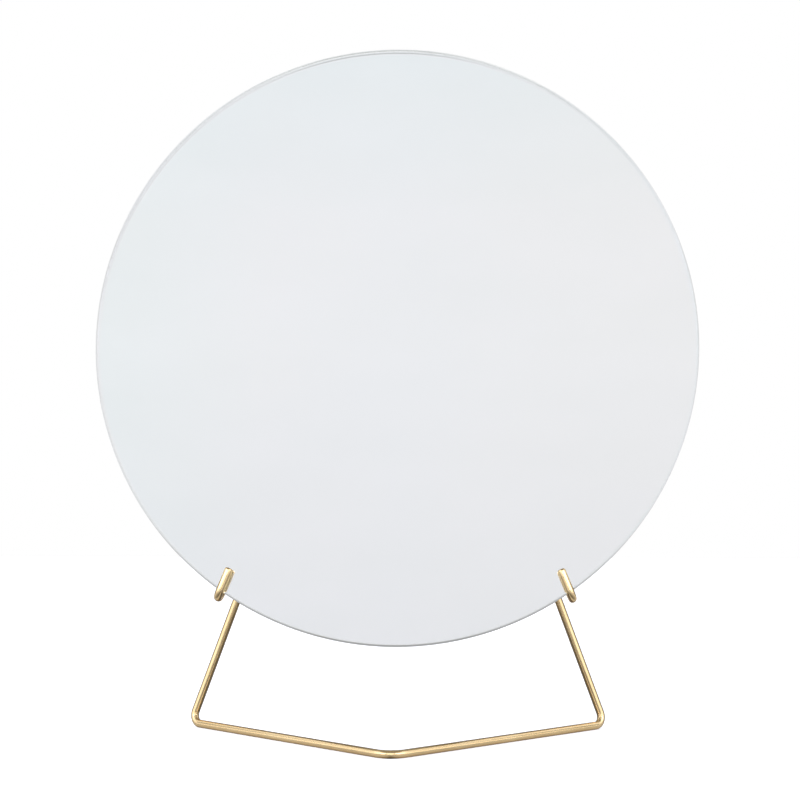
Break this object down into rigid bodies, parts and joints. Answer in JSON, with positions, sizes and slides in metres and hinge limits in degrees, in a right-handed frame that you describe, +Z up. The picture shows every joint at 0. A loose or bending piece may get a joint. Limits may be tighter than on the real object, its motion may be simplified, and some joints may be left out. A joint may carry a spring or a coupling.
{
  "type": "countertop mirror",
  "caption": "Round frameless glass mirror leaning back in a bent brass rod stand, held by two hooks around its lower rim.",
  "frame": {"origin": "middle of the object's outline on the table, with the rod's underside at z = 0", "axes": "+X to the right seen from the front, +Y to the back so the mirror faces -Y, +Z up"},
  "size_m": [0.3, 0.1094, 0.342],
  "materials": {
    "brass_rod": "polished, with fine drawing lines along the rod",
    "clear_glass": "polished face and polished flat edge with small arrises",
    "silvering": "mirror",
    "grey_film": "satin protective film"
  },
  "bodies": {
    "stand": {"wire_stand": "brass_rod"},
    "mirror": {"glass_disc": "clear_glass", "silver_layer": "silvering", "backing_film": "grey_film"}
  },
  "joints": [
    {"name": "mirror_lift", "type": "slide", "parent": "stand", "child": "mirror", "axis": [0, 0.1564, 0.9877], "range_m": [0, 0.06]}
  ]
}
